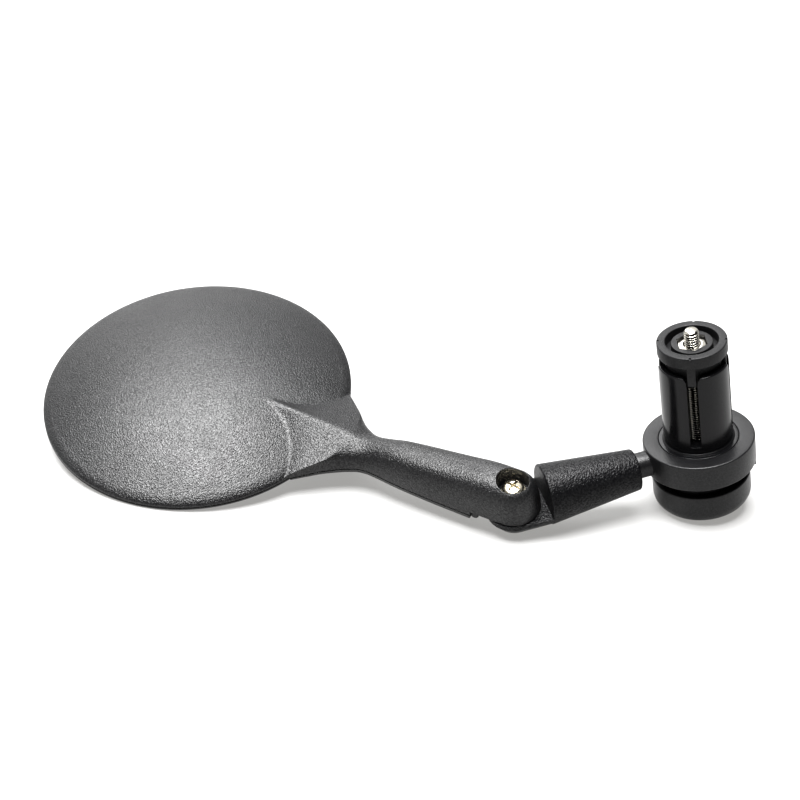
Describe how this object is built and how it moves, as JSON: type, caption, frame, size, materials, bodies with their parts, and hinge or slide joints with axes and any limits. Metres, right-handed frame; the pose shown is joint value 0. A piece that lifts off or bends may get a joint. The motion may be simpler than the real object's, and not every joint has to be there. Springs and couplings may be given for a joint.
{
  "type": "bicycle bar-end mirror",
  "caption": "Round convex rear-view mirror on a jointed arm, with a swivel ring and an expanding plug that clamps in the end of a handlebar.",
  "frame": {"origin": "on the plug's axis, at the bearing face that meets the end of the handlebar", "axes": "+Z along the plug's axis into the handlebar; the link leaves along -X; +Y is the side the mirror head is folded towards"},
  "size_m": [0.175, 0.1257, 0.0525],
  "materials": {
    "satin_black": "satin moulded black, fine grain",
    "gloss_black": "glossy moulded black",
    "grained_black": "satin black with a fine leather grain",
    "nylon_dark": "matt dark nylon",
    "bright_steel": "bright nickel-plated steel",
    "mirror_face": "silvered convex glass",
    "foam_grey": "closed-cell foam"
  },
  "bodies": {
    "plug": {"plug_hub": "gloss_black", "end_cap": "satin_black", "bolt_washer": "bright_steel", "friction_washer": "nylon_dark"},
    "clamp_bolt": {"clamp_bolt": "bright_steel"},
    "expander": {"expander_cone": "nylon_dark", "clamp_nut": "bright_steel"},
    "jaw_1": {"plug_jaw_1": "gloss_black"},
    "jaw_2": {"plug_jaw_2": "gloss_black"},
    "jaw_3": {"plug_jaw_3": "gloss_black"},
    "jaw_4": {"plug_jaw_4": "gloss_black"},
    "swivel": {"swivel_ring": "satin_black", "link_pivot_washer": "bright_steel"},
    "link": {"link_arm": "grained_black", "link_pivot_screw": "bright_steel", "elbow_nut": "bright_steel", "elbow_screw": "bright_steel"},
    "head": {"mirror_housing": "grained_black", "front_bezel": "satin_black", "mirror_glass": "mirror_face", "glass_pad": "foam_grey", "elbow_washer": "bright_steel"}
  },
  "joints": [
    {"name": "swivel_turn", "type": "hinge", "parent": "plug", "child": "swivel", "pos_m": [0, 0, 0], "axis": [0, 0, 1], "continuous": true},
    {"name": "link_twist", "type": "hinge", "parent": "swivel", "child": "link", "pos_m": [-0.02, 0, -0.00424], "axis": [-1, 0, 0], "continuous": true},
    {"name": "elbow_turn", "type": "hinge", "parent": "link", "child": "head", "pos_m": [-0.05107, 0, -0.00424], "axis": [0, -0.2065, 0.9784], "range_deg": [-33.6, 126.4]},
    {"name": "clamp_bolt_turn", "type": "hinge", "parent": "plug", "child": "clamp_bolt", "pos_m": [0, 0, -0.0175], "axis": [0, 0, 1], "range_deg": [0, 1235]},
    {"name": "expander_slide", "type": "slide", "parent": "plug", "child": "expander", "axis": [0, 0, 1], "range_m": [-0.0024, 0]},
    {"name": "jaw_1_open", "type": "hinge", "parent": "plug", "child": "jaw_1", "pos_m": [0.00308, -0.00824, 0.00275], "axis": [0.9367, 0.3502, 0], "range_deg": [0, 2.76]},
    {"name": "jaw_2_open", "type": "hinge", "parent": "plug", "child": "jaw_2", "pos_m": [0.00824, 0.00308, 0.00275], "axis": [-0.3502, 0.9367, 0], "range_deg": [0, 2.76]},
    {"name": "jaw_3_open", "type": "hinge", "parent": "plug", "child": "jaw_3", "pos_m": [-0.00308, 0.00824, 0.00275], "axis": [-0.9367, -0.3502, 0], "range_deg": [0, 2.76]},
    {"name": "jaw_4_open", "type": "hinge", "parent": "plug", "child": "jaw_4", "pos_m": [-0.00824, -0.00308, 0.00275], "axis": [0.3502, -0.9367, 0], "range_deg": [0, 2.76]}
  ],
  "couplings": [
    {"joint": "clamp_bolt_turn", "follows": "expander_slide", "rad_per_m": -8976},
    {"joint": "jaw_1_open", "follows": "expander_slide", "rad_per_m": -20},
    {"joint": "jaw_2_open", "follows": "expander_slide", "rad_per_m": -20},
    {"joint": "jaw_3_open", "follows": "expander_slide", "rad_per_m": -20},
    {"joint": "jaw_4_open", "follows": "expander_slide", "rad_per_m": -20}
  ]
}
